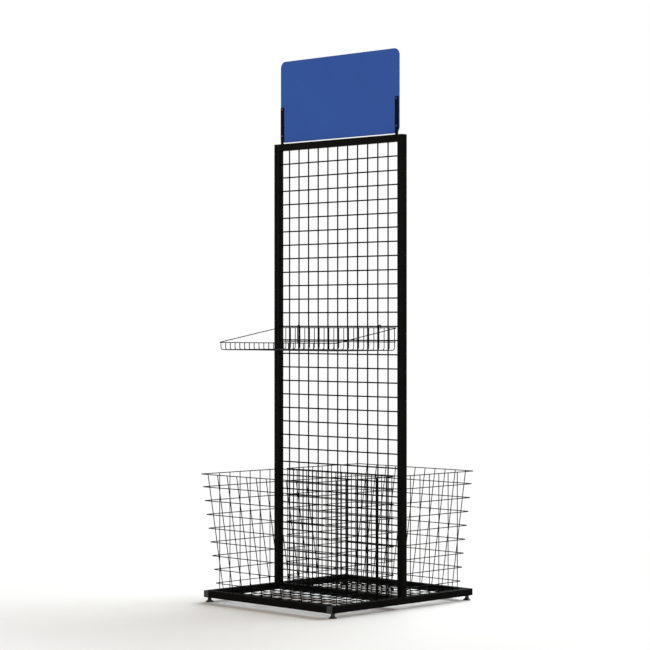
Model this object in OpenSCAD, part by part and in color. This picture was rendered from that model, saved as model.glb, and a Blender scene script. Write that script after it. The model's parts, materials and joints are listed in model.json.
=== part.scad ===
// Free-standing wire display rack for a shop floor
// The origin is on the floor under the middle of the rack. X runs along the panel,
// -Y is the front, where the shelf hangs, and Z is up. All sizes are in millimetres.

/* [Base frame] */
// Width of the base, left to right
base_w = 650; // [560:10:760]
// Depth of the base, front to back
base_d = 725; // [640:5:800]
// Side of the square tube
tube = 25; // [22:1:30]
// Wall of the square tube
tube_wall = 1.5; // [1:0.1:2.5]
// Thickness of the visible plate of a tube cap
cap_plate = 2.5; // [1:0.5:5]
// Length of a tube cap inside its tube
cap_plug = 12; // [6:1:20]
// Thickness of the three fins of a tube cap
cap_fin = 1.5; // [1:0.1:2]
// Clearance of a cap in its tube, each side
cap_fit = 0.1; // [0.05:0.05:0.3]

/* [Feet] */
// Height of the underside of the base above the floor
foot_h = 17; // [15:1:30]
// Diameter of a foot's pad
pad_d = 29; // [24:1:40]
// Thickness of the pad's rim
pad_rim = 3; // [2:0.5:5]
// Diameter of the pad's neck
pad_neck = 14; // [11:1:16]
// Distance of a foot's middle from the end of its rail
foot_inset = 17.5; // [15:0.5:40]
// Diameter of a foot's stud
stud_d = 8; // [6:1:9]
// Height of the stud's lower end above the floor
stud_foot = 4; // [3:0.5:6]
// How far the stud reaches into the rail
stud_in = 19; // [14:1:19]
// Radial clearance of the stud in its threaded insert
stud_fit = 0.05; // [0.02:0.01:0.1]
// Radial clearance of the stud in the rail's lower wall
stud_hole_gap = 0.5; // [0.3:0.1:1]
// Width of a lock nut across its flats
lock_flats = 13; // [12:0.5:14]
// Thickness of a lock nut
lock_h = 6; // [4:0.5:8]
// Gap between a pad and the lock nut above it
lock_gap = 0.5; // [0.3:0.1:2]
// Outer diameter of a threaded insert
insert_d = 13; // [11:1:16]
// Length of a threaded insert
insert_len = 12; // [8:1:13]

/* [Frame and panel] */
// Height of the top of the frame above the floor
frame_h = 1667; // [1467:10:2067]
// Distance between parallel wires of the panel, the floors and the baskets
pitch = 50; // [40:5:60]
// Diameter of the panel's wires
panel_wire = 5; // [4:0.5:6]
// How deep crossing wires of the panel sink into each other at a weld
panel_weld = 0.8; // [0.2:0.1:1.2]
// Distance of the panel's upright wires in front of the middle plane
panel_front = 5; // [3:0.5:6]

/* [Thin wire] */
// Diameter of the wires of the base floor, the baskets and the shelf
wire = 3.2; // [2.5:0.1:4]
// How deep crossing thin wires sink into each other at a weld
weld = 0.5; // [0.2:0.1:0.9]
// Least room between two parallel wires of a mesh
least_room = 15; // [10:1:20]
// Depth of the base floor's weld plane below the top of the base
floor_drop = 12; // [8:0.5:16]

/* [Baskets] */
// Height of a basket's rim above the top of the base
basket_h = 422; // [320:1:520]
// Lean of a basket's outer wall from upright, in degrees
basket_lean = 10; // [0:0.5:12]
// Clearance between a basket and each side rail
basket_side_gap = 2.2; // [1:0.1:4]
// Clearance between a basket's outer wall and the front or rear rail
basket_outer_gap = 1.6; // [0.5:0.1:4]
// Clearance between a basket's back wall and the centre rail
basket_back_gap = 0.4; // [0.3:0.1:2]
// Clearance under a basket, above the base floor
basket_stand_gap = 0.3; // [0.2:0.1:1]
// Bend radius at a basket's corners
basket_r = 10; // [6:1:20]
// Height of the lowest ring above the top of the base
first_ring = 26; // [15:1:40]
// Distance of the first upright wire of a side wall from the middle plane
first_side_wire = 61; // [40:1:80]
// How far an upright wire runs past the centre line of the wire it ends on
wire_end = 1; // [0:0.2:1.6]

/* [Shelf] */
// Number of the panel wire that the shelf hangs on, counted from the bottom
shelf_row = 19; // [17:1:24]
// Distance between the bent wires of the shelf
shelf_pitch = 25; // [20:1:40]
// Clearance between the shelf's rim and each upright
shelf_side_gap = 0.4; // [0.3:0.1:3]
// Reach of the shelf's front in front of the middle plane
shelf_reach = 313; // [200:1:400]
// Gap between the shelf's cross wire and the panel's upright wires
shelf_back_gap = 0.3; // [0.2:0.1:2]
// Depth of the floor wires below the panel wire that the shelf hangs on
shelf_drop = 84; // [60:1:120]
// Height of the front rim above the floor wires
shelf_lip = 26; // [18:1:45]
// Depth of the back rim below the panel wire that the shelf hangs on
rim_drop = 5; // [4:1:20]
// Height of the cross wire above the floor wires
cross_h = 28.5; // [18:0.5:40]
// How far the cross wire runs past the last bent wire
cross_end = 2.5; // [1:0.5:6]
// Radius of the bends of the shelf
shelf_r = 10; // [6:1:14]

/* [Shelf hooks] */
// Diameter of a hook's wire
hook_wire = 4; // [3:0.5:5]
// How many upright panel wires stand outside a hook
hook_inset = 1; // [0:1:3]
// Clearance between a hook and the upright panel wire beside it
hook_side_gap = 1; // [0.5:0.1:3]
// Clearance between a hook and the top of the wire that it hangs on
hook_gap = 0.3; // [0.2:0.1:1]
// Length of the straight tail of a hook
hook_tail = 8; // [5:1:12]
// How far a hook runs down past the cross wire
hook_foot = 7.5; // [3:0.5:12]

/* [Header board] */
// Height of the board
board_h = 300; // [200:10:400]
// Thickness of the board
board_t = 4; // [3:0.5:6]
// Corner radius of the board
board_r = 24; // [5:1:40]
// Gap between the board and the top rail
board_gap = 5; // [3:0.5:15]

/* [Board brackets] */
// Width of a bracket
bracket_w = 16; // [15:1:24]
// Thickness of a bracket
bracket_t = 3; // [2:0.5:5]
// Distance of a bracket from the inner face of the upright beside it
bracket_side_gap = 2; // [1:1:40]
// Distance of a bracket from the end of the board
bracket_inset = 2; // [1:1:20]
// Height of a bracket above the board's lower edge
bracket_h = 130; // [80:1:180]
// Height above the board's lower edge where a bracket starts to narrow
taper_h = 17; // [8:1:18]
// Width of a bracket's shoulder on the top rail
shoulder_w = 13; // [12.5:0.5:15]
// Width of a bracket's peg
peg_w = 10; // [6:0.5:11]
// Length of the peg below the top of the frame
peg_len = 15; // [8:1:19]
// Clearance of the peg in its slot, each side
peg_fit = 0.3; // [0.2:0.1:0.6]
// Gap between the shoulder and the top rail
shoulder_gap = 0.3; // [0.2:0.1:0.6]
// Diameter of a bracket screw
screw_d = 5; // [4:0.5:6]
// Diameter of a screw's head
head_d = 9; // [8:0.5:11]
// Height of a screw's head
head_h = 2.8; // [1.5:0.1:4]
// Radial clearance of a screw in the bracket and the board
screw_gap = 0.2; // [0.1:0.1:0.4]
// Width of a nut across its flats
nut_flats = 8; // [7.5:0.5:10]
// Thickness of a nut
nut_h = 4; // [3:0.5:6]
// How far a screw stands out of its nut
screw_out = 1; // [0.5:0.5:4]
// Height of the lower screw above the board's lower edge
low_screw = 26; // [25:1:35]
// Distance between the screws of a bracket
screw_step = 97; // [40:1:100]

/* [Hidden] */
$fn = 24;
// Overcut of a hole past the faces that it goes through
over = 1;
// Colours of the finishes
coat_colour = "#1d1c1a";
cap_colour = "#3a3a3a";
pad_colour = "#2b2826";
zinc_colour = "#3f4042";
board_colour = "#345294";

// Levels and faces of the frame
base_top = foot_h + tube;
inner_x = base_w / 2 - tube;
inner_y = base_d / 2 - tube;
rail_x = (base_w - tube) / 2;
rail_y = (base_d - tube) / 2;
foot_y = base_d / 2 - foot_inset;
pad_h = foot_h - lock_h - lock_gap;

// Panel
panel_top = frame_h - tube;
row_y = panel_weld - panel_wire + panel_front;
panel_columns = copies(inner_x - least_room);
panel_rows = copies(panel_top - base_top - least_room);

// Distance between the centre lines of two thin wires welded across each other
lap = wire - weld;

// Base floor
floor_z = base_top - floor_drop;
bay_y = (inner_y + tube / 2) / 2;
floor_columns = copies(inner_x - least_room);
floor_rows = copies(bay_y - tube / 2 - least_room / 2);

// Baskets
stand_z = floor_z + lap / 2 + wire + basket_stand_gap;
rim_z = base_top + basket_h;
side_wire_x = inner_x - basket_side_gap - wire / 2;
ring_x = side_wire_x - lap;
back_wire_y = tube / 2 + basket_back_gap + wire / 2;
ring_back_y = back_wire_y + lap;
outer_y = inner_y - basket_outer_gap - (lap + wire / 2) / cos(basket_lean);
ring_steps = copies(basket_h - first_ring - least_room);
side_steps = copies(ring_outer(stand_z) - basket_r - first_side_wire);
wall_columns = copies(ring_x - basket_r);

// Shelf
row_z = base_top + pitch * shelf_row;
tray_z = row_z - shelf_drop;
rim_x = inner_x - shelf_side_gap - wire / 2;
rim_back_y = panel_front + (panel_wire + wire) / 2 + shelf_back_gap;
shelf_back = rim_back_y + lap;
rim_back_z = row_z - rim_drop;
rim_front_z = tray_z + shelf_lip;
tray_gaps = floor(2 * (rim_x - shelf_r) / shelf_pitch);
tray_x = tray_gaps * shelf_pitch / 2;
rim_fall = rim_back_z - rim_front_z;
rim_run = shelf_reach - rim_back_y;

// Hooks
hook_x = pitch * (panel_columns - hook_inset) + (panel_wire + hook_wire) / 2 + hook_side_gap;
hook_leg_y = rim_back_y - (wire + hook_wire) / 2 + weld;
hook_r = hook_leg_y - row_y;
hook_z = row_z + (panel_wire + hook_wire) / 2 + hook_gap - hook_r;

// Header board
board_z = frame_h + board_gap;
bracket_x = inner_x - bracket_side_gap - bracket_w / 2;
board_w = 2 * bracket_x + bracket_w + 2 * bracket_inset;
bracket_y = (board_t + bracket_t) / 2;

// How many whole steps of the mesh fit into a length
function copies(length) = floor(length / pitch);
// Distance of the outer side of a basket's ring from the middle plane, at a height
function ring_outer(z) = outer_y + tan(basket_lean) * (z - base_top);

module wire_x(half, y, z, d = wire) {
    translate([-half, y, z]) rotate([0, 90, 0]) cylinder(d = d, h = 2 * half);
}

module wire_y(x, y0, y1, z, d = wire) {
    translate([x, y1, z]) rotate([90, 0, 0]) cylinder(d = d, h = y1 - y0);
}

module wire_z(x, y, z0, z1, d = wire) {
    translate([x, y, z0]) cylinder(d = d, h = z1 - z0);
}

// Bent wire in the XY plane, from the +X side round to the +Y side of its centre
module bend(r, angle = 90, d = wire) {
    rotate_extrude(angle = angle) translate([r, 0]) circle(d = d);
}

// Closed ring of wire with round corners in the XY plane
module ring(half_x, y0, y1, r) {
    for (y = [y0, y1]) wire_x(half_x - r, y, 0);
    for (x = [-half_x, half_x]) wire_y(x, y0 + r, y1 - r, 0);
    translate([half_x - r, y1 - r]) bend(r);
    translate([r - half_x, y1 - r]) rotate(90) bend(r);
    translate([r - half_x, y0 + r]) rotate(180) bend(r);
    translate([half_x - r, y0 + r]) rotate(270) bend(r);
}

// Square tube along X
module tube_x(length) {
    difference() {
        cube([length, tube, tube], center = true);
        cube([length + over, tube - 2 * tube_wall, tube - 2 * tube_wall], center = true);
    }
}

// Draws for the rear half, and mirrors it for the front one
module on_side(side) {
    mirror([0, side < 0 ? 1 : 0, 0]) children();
}

module side_rail(side) {
    color(coat_colour) translate([side * rail_x, 0, foot_h]) difference() {
        translate([0, 0, tube / 2]) rotate(90) tube_x(base_d - 2 * cap_plate);
        for (y = [-foot_y, foot_y]) translate([0, y, -over])
            cylinder(d = stud_d + 2 * stud_hole_gap, h = tube_wall + 2 * over);
    }
}

module cross_rail(y) {
    color(coat_colour) translate([0, y, base_top - tube / 2]) tube_x(2 * inner_x);
}

// Cap of a square tube, with its plate on top and three fins below that leave its +Y side open
module tube_cap() {
    plug = tube - 2 * tube_wall - 2 * cap_fit;
    open = plug - 2 * cap_fin;
    translate([-tube / 2, -tube / 2]) cube([tube, tube, cap_plate]);
    difference() {
        translate([-plug / 2, -plug / 2, -cap_plug]) cube([plug, plug, cap_plug]);
        translate([-open / 2, -open / 2, -cap_plug - over]) cube([open, plug, cap_plug + over]);
    }
}

module rail_caps() {
    color(cap_colour) for (x = [-rail_x, rail_x], side = [-1, 1]) on_side(side)
        translate([x, base_d / 2 - cap_plate, base_top - tube / 2]) rotate([-90, 0, 0]) tube_cap();
}

module foot_inserts() {
    color(zinc_colour) at_feet() translate([0, 0, foot_h + tube_wall]) difference() {
        cylinder(d = insert_d, h = insert_len);
        stud_bore(insert_len);
    }
}

module foot_lock_nuts() {
    color(zinc_colour) at_feet() translate([0, 0, foot_h - lock_h]) difference() {
        cylinder(d = lock_flats / cos(30), h = lock_h, $fn = 6);
        stud_bore(lock_h);
    }
}

// Hole through a nut or an insert of the given height
module stud_bore(height) {
    translate([0, 0, -over]) cylinder(d = stud_d + 2 * stud_fit, h = height + 2 * over);
}

module at_feet() {
    for (x = [-rail_x, rail_x], y = [-foot_y, foot_y]) translate([x, y]) children();
}

module floor_mesh(side) {
    color(coat_colour) translate([0, side * bay_y]) {
        for (i = [-floor_columns:floor_columns])
            wire_y(i * pitch, -inner_y / 2 + tube / 4, inner_y / 2 - tube / 4, floor_z - lap / 2);
        for (i = [-floor_rows:floor_rows]) wire_x(inner_x, i * pitch, floor_z + lap / 2);
    }
}

module upright(side) {
    length = frame_h - cap_plate - base_top;
    color(coat_colour) translate([side * rail_x, 0, base_top + length / 2])
        rotate([0, 90, 0]) tube_x(length);
}

module upright_caps() {
    color(cap_colour) for (x = [-rail_x, rail_x]) translate([x, 0, frame_h - cap_plate]) tube_cap();
}

module top_rail() {
    color(coat_colour) difference() {
        translate([0, 0, frame_h - tube / 2]) tube_x(2 * inner_x);
        for (x = [-bracket_x, bracket_x]) translate([x, -bracket_y, frame_h])
            cube([peg_w + 2 * peg_fit, bracket_t + 2 * peg_fit, 2 * tube_wall + over], center = true);
    }
}

module panel_upright_wires() {
    color(coat_colour) for (i = [-panel_columns:panel_columns])
        wire_z(i * pitch, -panel_front, base_top, panel_top, panel_wire);
}

module panel_cross_wires() {
    color(coat_colour) for (i = [1:panel_rows])
        wire_x(inner_x, -row_y, base_top + i * pitch, panel_wire);
}

module foot_pad(side_x, side_y) {
    color(pad_colour) translate([side_x * rail_x, side_y * foot_y]) difference() {
        union() {
            cylinder(d = pad_d, h = pad_rim);
            translate([0, 0, pad_rim]) cylinder(d1 = pad_d, d2 = pad_neck, h = pad_h - pad_rim);
        }
        translate([0, 0, stud_foot]) cylinder(d = stud_d, h = pad_h);
    }
}

module foot_stud(side_x, side_y) {
    color(zinc_colour)
        wire_z(side_x * rail_x, side_y * foot_y, stud_foot, foot_h + stud_in, stud_d);
}

module basket_rim(side) {
    color(coat_colour) on_side(side) translate([0, 0, rim_z])
        ring(ring_x, ring_back_y, ring_outer(rim_z), basket_r);
}

module basket_foot_ring(side) {
    color(coat_colour) on_side(side) translate([0, 0, stand_z])
        ring(ring_x, ring_back_y, ring_outer(stand_z), basket_r);
}

module basket_outer_wall(side) {
    color(coat_colour) on_side(side) {
        for (i = [-wall_columns:wall_columns])
            translate([i * pitch, ring_outer(stand_z) + lap / cos(basket_lean), stand_z])
                rotate([-basket_lean, 0, 0])
                    translate([0, 0, -wire_end])
                        cylinder(d = wire, h = (rim_z - stand_z) / cos(basket_lean) + 2 * wire_end);
        for (z = ring_levels()) wire_x(ring_x - basket_r, ring_outer(z), z);
    }
}

module basket_back_wall(side) {
    color(coat_colour) on_side(side) {
        for (i = [-wall_columns:wall_columns])
            wire_z(i * pitch, back_wire_y, stand_z - wire_end, rim_z + wire_end);
        for (z = ring_levels()) wire_x(ring_x - basket_r, ring_back_y, z);
    }
}

// Left or right wall of a basket, with the bends of its rings at both corners
module basket_side_wall(side, hand) {
    color(coat_colour) on_side(side) mirror([hand < 0 ? 1 : 0, 0, 0]) {
        for (i = [0:side_steps])
            wire_z(side_wire_x, first_side_wire + i * pitch, stand_z - wire_end, rim_z + wire_end);
        for (z = ring_levels()) {
            wire_y(ring_x, ring_back_y + basket_r, ring_outer(z) - basket_r, z);
            translate([ring_x - basket_r, ring_outer(z) - basket_r, z]) bend(basket_r);
            translate([ring_x - basket_r, ring_back_y + basket_r, z]) rotate(-90) bend(basket_r);
        }
    }
}

// Heights of a basket's rings between its foot ring and its rim
function ring_levels() = [for (i = [0:ring_steps]) base_top + first_ring + i * pitch];

module shelf_rim() {
    color(coat_colour) translate([0, -rim_back_y, rim_back_z]) rotate([atan(rim_fall / rim_run), 0, 0])
        ring(rim_x, -norm([rim_fall, rim_run]), 0, shelf_r);
}

// Side view of one bent wire: back leg, floor and front lip
module tray_wire() {
    wire_z(0, -shelf_back, tray_z + shelf_r, rim_back_z + wire_end);
    wire_y(0, shelf_r - shelf_reach, -shelf_back - shelf_r, tray_z);
    wire_z(0, -shelf_reach, tray_z + shelf_r, rim_front_z - wire / 2 + weld);
    translate([0, -shelf_back - shelf_r, tray_z + shelf_r]) rotate([90, 0, 90]) rotate(-90) bend(shelf_r);
    translate([0, shelf_r - shelf_reach, tray_z + shelf_r]) rotate([90, 0, 90]) rotate(180) bend(shelf_r);
}

module shelf_tray() {
    color(coat_colour) {
        for (i = [0:tray_gaps]) translate([i * shelf_pitch - tray_x, 0]) tray_wire();
        wire_x(tray_x + cross_end, -rim_back_y, tray_z + cross_h);
    }
}

module shelf_hook(side) {
    color(coat_colour) translate([side * hook_x, 0]) {
        wire_z(0, -hook_leg_y, tray_z + cross_h - hook_foot, hook_z, hook_wire);
        translate([0, -row_y, hook_z]) rotate([90, 0, 90]) bend(hook_r, 180, hook_wire);
        wire_z(0, hook_r - row_y, hook_z - hook_tail, hook_z, hook_wire);
    }
}

// Places for the two screws of each bracket, with +Z pointing to the front
module at_screws() {
    for (x = [-bracket_x, bracket_x], z = [low_screw, low_screw + screw_step])
        translate([x, 0, board_z + z]) rotate([90, 0, 0]) children();
}

module header_board() {
    color(board_colour) difference() {
        translate([0, board_t / 2, board_z]) rotate([90, 0, 0]) linear_extrude(board_t) board_outline();
        at_screws() cylinder(d = screw_d + 2 * screw_gap, h = board_t + over, center = true);
    }
}

module board_outline() {
    straight = board_w / 2 - board_r;
    translate([-straight, 0]) square([2 * straight, board_h]);
    translate([-board_w / 2, board_r]) square([board_w, board_h - 2 * board_r]);
    for (x = [-straight, straight], z = [board_r, board_h - board_r]) translate([x, z]) circle(r = board_r);
}

// Flat bracket with a tapered shoulder and a peg, cut from one strip
module board_bracket(side) {
    shoulder = shoulder_gap - board_gap;
    half = [bracket_w / 2, shoulder_w / 2, peg_w / 2];
    outline = [
        [-half.x, bracket_h], [-half.x, taper_h], [-half.y, shoulder], [-half.z, shoulder],
        [-half.z, -board_gap - peg_len], [half.z, -board_gap - peg_len], [half.z, shoulder],
        [half.y, shoulder], [half.x, taper_h], [half.x, bracket_h]
    ];
    color(coat_colour) difference() {
        translate([side * bracket_x, -board_t / 2, board_z])
            rotate([90, 0, 0]) linear_extrude(bracket_t) polygon(outline);
        at_screws() cylinder(d = screw_d + 2 * screw_gap, h = board_t + 2 * bracket_t + over, center = true);
    }
}

module bracket_screws() {
    grip = board_t / 2 + nut_h + screw_out;
    front = board_t / 2 + bracket_t;
    color(zinc_colour) at_screws() {
        translate([0, 0, -grip]) cylinder(d = screw_d, h = grip + front);
        translate([0, 0, front]) cylinder(d1 = head_d, d2 = screw_d, h = head_h);
    }
}

module bracket_nuts() {
    color(zinc_colour) at_screws() translate([0, 0, -board_t / 2 - nut_h]) difference() {
        cylinder(d = nut_flats / cos(30), h = nut_h, $fn = 6);
        translate([0, 0, -over]) cylinder(d = screw_d, h = nut_h + 2 * over);
    }
}

side_rail(-1);  // left_rail
side_rail(1);  // right_rail
cross_rail(-rail_y);  // front_rail
cross_rail(rail_y);  // rear_rail
cross_rail(0);  // centre_rail
rail_caps();
foot_inserts();
foot_lock_nuts();
floor_mesh(-1);  // front_floor_mesh
floor_mesh(1);  // rear_floor_mesh
upright(-1);  // left_upright
upright(1);  // right_upright
upright_caps();
top_rail();
panel_upright_wires();
panel_cross_wires();
foot_pad(-1, -1);  // front_left_foot_pad
foot_stud(-1, -1);  // front_left_foot_stud
foot_pad(1, -1);  // front_right_foot_pad
foot_stud(1, -1);  // front_right_foot_stud
foot_pad(-1, 1);  // rear_left_foot_pad
foot_stud(-1, 1);  // rear_left_foot_stud
foot_pad(1, 1);  // rear_right_foot_pad
foot_stud(1, 1);  // rear_right_foot_stud
basket_rim(-1);  // front_basket_rim
basket_outer_wall(-1);  // front_basket_outer_wall
basket_back_wall(-1);  // front_basket_back_wall
basket_side_wall(-1, -1);  // front_basket_left_wall
basket_side_wall(-1, 1);  // front_basket_right_wall
basket_foot_ring(-1);  // front_basket_foot_ring
basket_rim(1);  // rear_basket_rim
basket_outer_wall(1);  // rear_basket_outer_wall
basket_back_wall(1);  // rear_basket_back_wall
basket_side_wall(1, -1);  // rear_basket_left_wall
basket_side_wall(1, 1);  // rear_basket_right_wall
basket_foot_ring(1);  // rear_basket_foot_ring
shelf_rim();
shelf_tray();
shelf_hook(-1);  // left_shelf_hook
shelf_hook(1);  // right_shelf_hook
header_board();
board_bracket(-1);  // left_board_bracket
board_bracket(1);  // right_board_bracket
bracket_screws();
bracket_nuts();
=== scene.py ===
"""Looks of a free-standing wire display rack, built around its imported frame.

Metres throughout. X runs along the wire panel, -Y is the front, where the shelf hangs, and Z is up.
"""

import json
import logging
import math
from dataclasses import dataclass, field
from enum import Enum
from functools import cached_property

import bpy
import numpy as np
from mathutils import Matrix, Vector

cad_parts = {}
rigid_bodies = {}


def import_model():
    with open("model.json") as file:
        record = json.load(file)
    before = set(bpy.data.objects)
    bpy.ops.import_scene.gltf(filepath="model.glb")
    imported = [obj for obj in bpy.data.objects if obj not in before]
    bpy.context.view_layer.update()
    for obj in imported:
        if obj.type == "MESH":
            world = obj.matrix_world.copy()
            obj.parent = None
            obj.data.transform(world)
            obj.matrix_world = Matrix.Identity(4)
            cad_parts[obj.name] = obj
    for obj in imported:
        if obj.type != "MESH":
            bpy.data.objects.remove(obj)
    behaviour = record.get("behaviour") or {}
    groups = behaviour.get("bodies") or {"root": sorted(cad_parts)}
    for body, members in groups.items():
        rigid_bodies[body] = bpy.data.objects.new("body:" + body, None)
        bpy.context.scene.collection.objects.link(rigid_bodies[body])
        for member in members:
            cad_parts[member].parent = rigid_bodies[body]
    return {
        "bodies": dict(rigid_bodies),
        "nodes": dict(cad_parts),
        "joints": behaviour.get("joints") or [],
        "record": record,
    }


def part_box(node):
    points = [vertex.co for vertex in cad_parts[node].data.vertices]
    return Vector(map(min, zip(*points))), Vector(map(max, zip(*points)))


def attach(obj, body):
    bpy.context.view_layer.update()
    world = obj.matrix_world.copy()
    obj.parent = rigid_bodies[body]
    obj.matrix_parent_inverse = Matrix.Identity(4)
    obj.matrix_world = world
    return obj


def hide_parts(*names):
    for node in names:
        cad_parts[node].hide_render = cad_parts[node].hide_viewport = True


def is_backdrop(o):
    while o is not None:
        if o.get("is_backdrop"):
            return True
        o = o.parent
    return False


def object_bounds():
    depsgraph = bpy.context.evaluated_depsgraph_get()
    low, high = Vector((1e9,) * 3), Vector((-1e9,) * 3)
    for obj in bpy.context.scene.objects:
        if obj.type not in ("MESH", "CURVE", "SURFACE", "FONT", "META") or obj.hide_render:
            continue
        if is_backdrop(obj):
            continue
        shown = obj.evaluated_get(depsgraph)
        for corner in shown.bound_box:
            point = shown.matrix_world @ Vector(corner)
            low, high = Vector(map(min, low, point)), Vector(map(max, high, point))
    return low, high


Array = np.ndarray
Pair = tuple[float, float]
Triple = tuple[float, float, float]
Places = Array | list[float] | Pair
Socket = bpy.types.NodeSocket

LOG = logging.getLogger("display_rack")
UPRIGHT = np.eye(3)
X_AXIS, Y_AXIS, Z_AXIS = UPRIGHT
FACING_FRONT = np.stack([X_AXIS, Z_AXIS, -Y_AXIS])
SHARP_EDGE = math.radians(38)

# Pitch of the square mesh, diameters of the wires, and least room between a last wire and the mesh's edge.
PITCH = 0.05
THIN_WIRE = 0.0032
PANEL_WIRE = 0.005
END_ROOM = 0.015
# Share of a pitch by which a last wire may lie past the end of its run, against rounding.
SLACK = 0.001

# Points round a wire, faces along a bend, and latitude of a weld nugget's outer rings, in degrees.
WIRE_SIDES = 12
BEND_STEPS = 8
NUGGET_TILT = 50
# Points over a plate's rounded edge, and how many edge radii in from its side one more outline lies.
EDGE_POINTS = 5
FACE_IN = 1.3
# A nut's end radius and the height of its cone, as shares of the width across its flats.
NUT_CONE = 0.51
NUT_CHAMFER = 0.075
# Faces along one side of the block that a hole in a tube replaces, points round the hole, places of the
# block's points, and how many times the hole's half size the block reaches.
HOLE_FACES = 4
HOLE_POINTS = 4 * HOLE_FACES
HOLE_BLOCK = np.linspace(-1, 1, HOLE_FACES + 1)
HOLE_REACH = 1.5
# Nearly all values of a noise texture lie between these.
NOISE_RANGE = (0.3, 0.7)


class Way(Enum):
    """A choice between the two ends of one axis, with the sign of the coordinate there."""

    def __str__(self) -> str:
        """Gives the name as it stands in the names of nodes."""
        return self.name.lower()


class Side(Way):
    """The two halves of the rack, along Y."""

    FRONT = -1
    REAR = 1


class Hand(Way):
    """Left and right, along X."""

    LEFT = -1
    RIGHT = 1


def span(node: str) -> tuple[Array, Array]:
    """Gives the lowest and highest corners of a node of the frame."""
    low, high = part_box(node)
    return np.array(low), np.array(high)


def middle(node: str) -> Array:
    """Gives the middle of a node of the frame."""
    return sum(span(node)) / 2


def steps(first: float, last: float) -> Array:
    """Gives the places first, first + pitch and so on, up to last."""
    return first + PITCH * np.arange(int((last - first) / PITCH + SLACK) + 1)


def centred(half: float) -> Array:
    """Gives the whole multiples of the pitch between -half and half."""
    count = int(half / PITCH + SLACK)
    return PITCH * np.arange(-count, count + 1)


def unit(vectors: Array) -> Array:
    """Scales vectors to a length of one."""
    return vectors / np.linalg.norm(vectors, axis=-1, keepdims=True)


def crossings(xs: Places, ys: Places, zs: Places) -> Array:
    """Gives every point of the grid of the three lists of coordinates."""
    return np.stack(np.meshgrid(xs, ys, zs, indexing="ij"), -1).reshape(-1, 3)


def circle(count: int, start: float = 0.0) -> Array:
    """Gives count angles spread evenly over a full turn."""
    return start + np.linspace(0, 2 * math.pi, count, endpoint=False)


def spun(radius: Array, height: Array, around: int) -> Array:
    """Gives rings about Z, as (rings, around, 3): a point is (radius cos a, radius sin a, height)."""
    turn = circle(around)[None]
    return np.stack([radius * np.cos(turn), radius * np.sin(turn), height + 0 * radius * turn], -1)


def arc(centre: Pair, radius: float, start: float, end: float, count: int = BEND_STEPS) -> Array:
    """Gives points on an arc: centre + radius * (cos a, sin a), with a in degrees from start to end."""
    angle = np.radians(np.linspace(start, end, count + 1))
    return np.asarray(centre) + radius * np.stack([np.cos(angle), np.sin(angle)], -1)


def loop(half: float, low: float, high: float, radius: float) -> Array:
    """Draws a rectangle with round corners, each a quarter of a circle, about X = 0.

    Args:
        half: half its width.
        low: height of its bottom.
        high: height of its top.
        radius: radius of its corners.

    Returns:
        The closed outline, anticlockwise, as (points, 2).
    """
    x, bottom, top = half - radius, low + radius, high - radius
    corners = [(x, top), (-x, top), (-x, bottom), (x, bottom)]
    return np.concatenate([arc(at, radius, 90 * turn, 90 * turn + 90) for turn, at in enumerate(corners)])


def grid_faces(rows: int, columns: int, close: bool = False) -> Array:
    """Numbers the four-cornered faces between the rings of a grid, row by row.

    Args:
        rows: number of rings.
        columns: number of points in a ring.
        close: whether the last ring joins the first one.

    Returns:
        Array of faces; they point outwards where (ring direction) x (row direction) does.
    """
    j, i = np.meshgrid(np.arange(rows if close else rows - 1), np.arange(columns), indexing="ij")
    right, up = (i + 1) % columns, (j + 1) % rows
    corners = [j * columns + i, j * columns + right, up * columns + right, up * columns + i]
    return np.stack(corners, -1).reshape(-1, 4)


@dataclass
class Skin:
    """Points and faces of one piece, gathered from arrays."""

    points: list[Array] = field(default_factory=list)
    faces: list[Array] = field(default_factory=list)
    count: int = 0

    def add(self, points: Array, *faces: Array) -> "Skin":
        """Adds points and the faces that number them.

        Args:
            points: array whose last axis holds x, y and z.
            faces: arrays whose last axis holds the corners of one face.

        Returns:
            The skin itself.
        """
        flat = np.asarray(points, float).reshape(-1, 3)
        self.faces += [np.asarray(f, int).reshape(-1, np.shape(f)[-1]) + self.count for f in faces]
        self.points.append(flat)
        self.count += len(flat)
        return self

    def rings(self, points: Array) -> "Skin":
        """Adds rings of points and closes the first and the last with a flat face.

        Args:
            points: the rings, as (rings, points, 3).

        Returns:
            The skin itself.
        """
        rows, columns = points.shape[:2]
        ring = np.arange(columns)[None]
        return self.add(points, grid_faces(rows, columns), ring[:, ::-1], ring + (rows - 1) * columns)

    def join(self, *others: "Skin") -> "Skin":
        """Adds the points and faces of other skins.

        Args:
            others: the other skins.

        Returns:
            The skin itself.
        """
        for other in others:
            self.faces += [faces + self.count for faces in other.faces]
            self.points += other.points
            self.count += other.count
        return self

    def placed(self, origin: Array, axes: Array = UPRIGHT) -> "Skin":
        """Moves the skin: a point becomes origin + x * axes[0] + y * axes[1] + z * axes[2]."""
        self.points = [np.asarray(origin) + points @ np.asarray(axes, float) for points in self.points]
        return self

    def mesh(self, name: str) -> bpy.types.Mesh:
        """Makes the mesh, smooth but for its sharp edges.

        Args:
            name: name of the mesh.

        Returns:
            The mesh.
        """
        mesh = bpy.data.meshes.new(name)
        faces = [face for batch in self.faces for face in batch.tolist()]
        mesh.from_pydata(np.concatenate(self.points).tolist(), [], faces)
        mesh.shade_smooth()
        mesh.set_sharp_from_angle(angle=SHARP_EDGE)
        mesh.update()
        return mesh


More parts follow.
